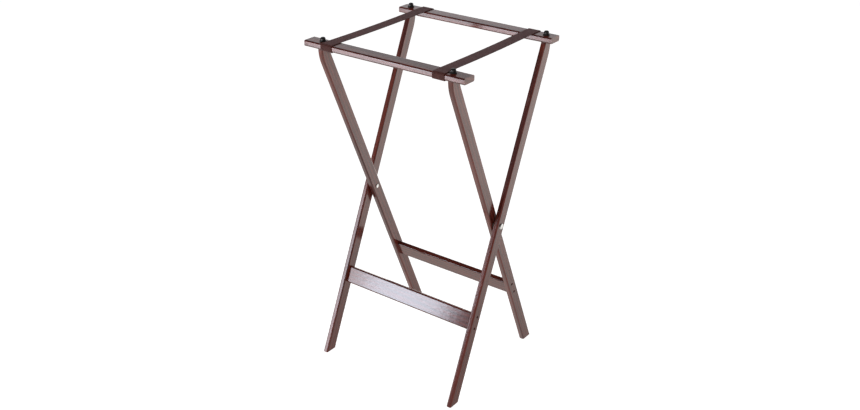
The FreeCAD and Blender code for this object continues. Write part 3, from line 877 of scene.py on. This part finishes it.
def webbing_face(side):
    """One woven face of the webbing, side 1 outwards and -1 inwards, as a grid laid on the line."""
    sheet = add_node(
        strap_tree,
        "GeometryNodeMeshGrid",
        {"Size X": 1.0, "Size Y": 1.0, "Vertices X": given["Columns"], "Vertices Y": given["Rows"]},
    )
    place = add_node(strap_tree, "GeometryNodeInputPosition").outputs["Position"]
    split = add_node(strap_tree, "ShaderNodeSeparateXYZ", {0: place})
    across = maths(strap_tree, "MULTIPLY", split.outputs["X"], given["Width"])
    share = maths(strap_tree, "ADD", split.outputs["Y"], 0.5, clamp=True)
    along = maths(strap_tree, "MULTIPLY", share, given["Length"])

    yarn = maths(strap_tree, "DIVIDE", across, given["Yarn Pitch"])
    yarn = maths(strap_tree, "ADD", yarn, YARNS_TO_MIDDLE)
    odd = maths(strap_tree, "FLOORED_MODULO", maths(strap_tree, "FLOOR", yarn), 2.0)
    pick = maths(strap_tree, "DIVIDE", along, given["Pick Length"])
    pick = maths(strap_tree, "MULTIPLY_ADD", odd, 0.5, pick)
    if side < 0:
        pick = maths(strap_tree, "ADD", pick, 0.5)

    def humps(count, sharpness):
        wave = maths(strap_tree, "SINE", maths(strap_tree, "MULTIPLY", count, pi))
        return maths(strap_tree, "POWER", maths(strap_tree, "ABSOLUTE", wave), sharpness)

    def rounded_edge(place_across, share):
        off_middle = maths(strap_tree, "ABSOLUTE", maths(strap_tree, "MULTIPLY", place_across, 2.0))
        from_edge = maths(strap_tree, "SUBTRACT", 1.0, off_middle)
        rise = maths(strap_tree, "MULTIPLY", from_edge, 1 / share, clamp=True)
        return maths(strap_tree, "POWER", rise, 0.5)

    swell = maths(strap_tree, "MULTIPLY", humps(yarn, 0.6), humps(pick, 0.5))
    round_x = rounded_edge(split.outputs["X"], WEB_EDGE_SHARE)
    round_y = rounded_edge(split.outputs["Y"], WEB_END_SHARE)
    body = maths(strap_tree, "MULTIPLY", round_x, round_y)
    half = maths(strap_tree, "MULTIPLY", given["Thickness"], 0.5)
    dip = maths(strap_tree, "SUBTRACT", 1.0, swell)
    lift = maths(
        strap_tree, "SUBTRACT", half, maths(strap_tree, "MULTIPLY", dip, given["Relief"])
    )
    lift = maths(strap_tree, "MULTIPLY", maths(strap_tree, "MULTIPLY", lift, body), side)

    sampled = add_node(
        strap_tree,
        "GeometryNodeSampleCurve",
        {"Curves": line, "Length": along},
        mode="LENGTH",
        data_type="FLOAT",
    )
    outward = add_node(
        strap_tree,
        "ShaderNodeVectorMath",
        {0: (1.0, 0.0, 0.0), 1: sampled.outputs["Tangent"]},
        operation="CROSS_PRODUCT",
    )
    lifted = add_node(
        strap_tree,
        "ShaderNodeVectorMath",
        {0: outward.outputs["Vector"], "Scale": lift},
        operation="SCALE",
    )
    sideways = add_node(strap_tree, "ShaderNodeCombineXYZ", {"X": across})
    spot = add_node(
        strap_tree,
        "ShaderNodeVectorMath",
        {0: sampled.outputs["Position"], 1: lifted.outputs["Vector"]},
        operation="ADD",
    )
    spot = add_node(
        strap_tree,
        "ShaderNodeVectorMath",
        {0: spot.outputs["Vector"], 1: sideways.outputs["Vector"]},
        operation="ADD",
    )
    # The yarns' height, kept for the finish, which paints shade into the dips between them.
    crowned = add_node(
        strap_tree,
        "GeometryNodeStoreNamedAttribute",
        {"Geometry": sheet.outputs["Mesh"], "Name": "crown", "Value": swell},
        data_type="FLOAT",
        domain="POINT",
    )
    measured = add_node(
        strap_tree,
        "ShaderNodeCombineXYZ",
        {"X": across, "Y": along, "Z": WEB_FACES_APART * side},
    )
    mapped = add_node(
        strap_tree,
        "GeometryNodeStoreNamedAttribute",
        {
            "Geometry": crowned.outputs["Geometry"],
            "Name": "web_place",
            "Value": measured.outputs["Vector"],
        },
        data_type="FLOAT_VECTOR",
        domain="POINT",
    )
    laid = add_node(
        strap_tree,
        "GeometryNodeSetPosition",
        {"Geometry": mapped.outputs["Geometry"], "Position": spot.outputs["Vector"]},
    )
    if side > 0:
        return laid.outputs["Geometry"]
    return add_node(
        strap_tree, "GeometryNodeFlipFaces", {"Mesh": laid.outputs["Geometry"]}
    ).outputs["Mesh"]


both_faces = add_node(strap_tree, "GeometryNodeJoinGeometry")
for side in (1, -1):
    strap_tree.links.new(webbing_face(side), both_faces.inputs["Geometry"])
closed = add_node(
    strap_tree,
    "GeometryNodeMergeByDistance",
    {"Geometry": both_faces.outputs["Geometry"], "Distance": WELD_DISTANCE},
)
smooth = add_node(
    strap_tree, "GeometryNodeSetShadeSmooth", {"Geometry": closed.outputs["Geometry"]}
)
real_webbing = add_node(
    strap_tree, "GeometryNodeRealizeInstances", {"Geometry": smooth.outputs["Geometry"]}
)
finished = add_node(
    strap_tree,
    "GeometryNodeSetMaterial",
    {"Geometry": real_webbing.outputs["Geometry"], "Material": given["Finish"]},
)
strap_tree.links.new(finished.outputs["Geometry"], result)

webbing, tree, shader = new_finish("brown_webbing")
web_place = add_node(tree, "ShaderNodeAttribute", attribute_name="web_place").outputs["Vector"]
crown = add_node(tree, "ShaderNodeAttribute", attribute_name="crown").outputs["Fac"]
yarn_stretch = add_node(tree, "ShaderNodeMapping", {"Vector": web_place, "Scale": (1.0, 0.12, 1.0)})
yarn_tone = add_node(
    tree, "ShaderNodeTexNoise", {"Vector": yarn_stretch.outputs["Vector"], "Scale": 650.0, "Detail": 2.0}
)
fuzz = add_node(tree, "ShaderNodeTexNoise", {"Vector": web_place, "Scale": 5200.0, "Detail": 3.0})
fade = add_node(tree, "ShaderNodeTexNoise", {"Vector": web_place, "Scale": 28.0, "Detail": 3.0})
pale_yarn = ramp(tree, yarn_tone.outputs["Fac"], 0.3, 0.75)
web_colour = mix_colours(tree, pale_yarn, STRAP_BROWN, STRAP_PALE)
deep_patch = ramp(tree, fade.outputs["Fac"], 0.42, 0.72, 0.0, 0.35)
web_colour = mix_colours(tree, deep_patch, web_colour, STRAP_DEEP_AND_WEAVE_SHADE)
# Painted shade: where the yarns' crown is low, in the dips between them, the colour is pulled towards
# the deep brown.
painted_weave_shade = ramp(tree, crown, 0.75, 0.15, 0.0, 0.9)
web_colour = mix_colours(tree, painted_weave_shade, web_colour, STRAP_DEEP_AND_WEAVE_SHADE)
tree.links.new(web_colour, shader.inputs["Base Color"])
tree.links.new(
    maths(tree, "MULTIPLY_ADD", fuzz.outputs["Fac"], 0.2, 0.68), shader.inputs["Roughness"]
)
web_bump = add_node(
    tree, "ShaderNodeBump", {"Height": fuzz.outputs["Fac"], "Strength": 0.5, "Distance": 0.00008}
)
tree.links.new(web_bump.outputs["Normal"], shader.inputs["Normal"])
shader.inputs["Sheen Weight"].default_value = 0.27
shader.inputs["Sheen Roughness"].default_value = 0.45
shader.inputs["Sheen Tint"].default_value = STRAP_SHEEN
shader.inputs["Specular IOR Level"].default_value = 0.25

for side in ("left", "right"):
    low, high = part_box(f"{side}_strap")
    middle_x = (low.x + high.x) / 2
    line_mesh = bpy.data.meshes.new("strap_line")
    line_mesh.from_pydata(
        [(middle_x, y, z) for y, z in strap_points],
        [(step, step + 1) for step in range(len(strap_points) - 1)],
        [],
    )
    strap = grown(
        f"{side}_webbing",
        line_mesh,
        strap_tree,
        strap_inputs,
        {
            "Width": STRAP_WIDTH,
            "Thickness": STRAP_THICKNESS,
            "Length": strap_length,
            "Yarn Pitch": YARN_PITCH,
            "Pick Length": PICK_LENGTH,
            "Relief": WEAVE_RELIEF,
            "Columns": WEB_COLUMNS,
            "Rows": WEB_ROWS,
            "Finish": webbing,
        },
    )
    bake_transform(strap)
    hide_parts(f"{side}_strap")


# --- Strap tacks ------------------------------------------------------------------------------------
# Steel tacks with wide domed heads, two through each end of each strap, up into the rails'
# undersides. One set for each rail.

TACK_METAL = (0.30, 0.27, 0.24, 1.0)
TACK_HEAD_RADIUS = 0.0035
TACK_HEAD_HEIGHT = 0.0009
TACK_SHANK_RADIUS = 0.0008
TACK_LENGTH = 0.009
TACK_POINT_LENGTH = 0.0025
TACK_STEPS = 20
TACK_SPACING = 0.016

tack_profile = [(0.0, -TACK_LENGTH), (TACK_SHANK_RADIUS, -TACK_LENGTH + TACK_POINT_LENGTH)]
tack_profile += [(TACK_SHANK_RADIUS, 0.0), (TACK_HEAD_RADIUS, 0.0)]
for turn in range(1, 8):
    angle = turn / 8 * pi / 2
    tack_profile.append((TACK_HEAD_RADIUS * cos(angle), TACK_HEAD_HEIGHT * sin(angle)))
tack_profile.append((0.0, TACK_HEAD_HEIGHT))

tack_tree, given, result, tack_inputs = new_tree(
    "tacks_under_rail",
    {"Across": "Float", "Spacing": "Float", "Middle": "Vector", "Finish": "Material"},
)
strap_ends = add_node(
    tack_tree,
    "GeometryNodeMeshGrid",
    {"Size X": given["Across"], "Size Y": given["Spacing"], "Vertices X": 2, "Vertices Y": 2},
)
seat_place = add_node(tack_tree, "GeometryNodeInputPosition").outputs["Position"]
seat_split = add_node(tack_tree, "ShaderNodeSeparateXYZ", {0: seat_place})
seat_row = add_node(
    tack_tree,
    "ShaderNodeCombineXYZ",
    {"X": maths(tack_tree, "ADD", seat_split.outputs["X"], seat_split.outputs["Y"])},
)
seats = add_node(
    tack_tree,
    "GeometryNodeSetPosition",
    {
        "Geometry": strap_ends.outputs["Mesh"],
        "Position": seat_row.outputs["Vector"],
        "Offset": given["Middle"],
    },
)
tacks = add_node(
    tack_tree,
    "GeometryNodeInstanceOnPoints",
    {"Points": seats.outputs["Geometry"], "Instance": given["Geometry"]},
)
tacks.inputs["Rotation"].default_value = (pi, 0.0, 0.0)
real_tacks = add_node(
    tack_tree, "GeometryNodeRealizeInstances", {"Geometry": tacks.outputs["Instances"]}
)
finished = add_node(
    tack_tree,
    "GeometryNodeSetMaterial",
    {"Geometry": real_tacks.outputs["Geometry"], "Material": given["Finish"]},
)
tack_tree.links.new(finished.outputs["Geometry"], result)

tack_steel = plated_steel("tack_bronzed", TACK_METAL, 0.38)
strap_x = (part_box("right_strap")[0].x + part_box("right_strap")[1].x) / 2
for body, word, side_y in (("inner_frame", "front", -1), ("outer_frame", "rear", 1)):
    tack_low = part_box(f"right_{word}_strap_tacks")[0]
    tacks = grown(
        f"{word}_strap_tack_set",
        turned_mesh("tack", tack_profile, TACK_STEPS),
        tack_tree,
        tack_inputs,
        {
            "Across": 2 * strap_x,
            "Spacing": TACK_SPACING,
            "Middle": [0.0, side_y * RAIL_Y, tack_low.z + TACK_HEAD_HEIGHT],
            "Finish": tack_steel,
        },
    )
    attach(tacks, body)
    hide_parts(f"left_{word}_strap_tacks", f"right_{word}_strap_tacks")
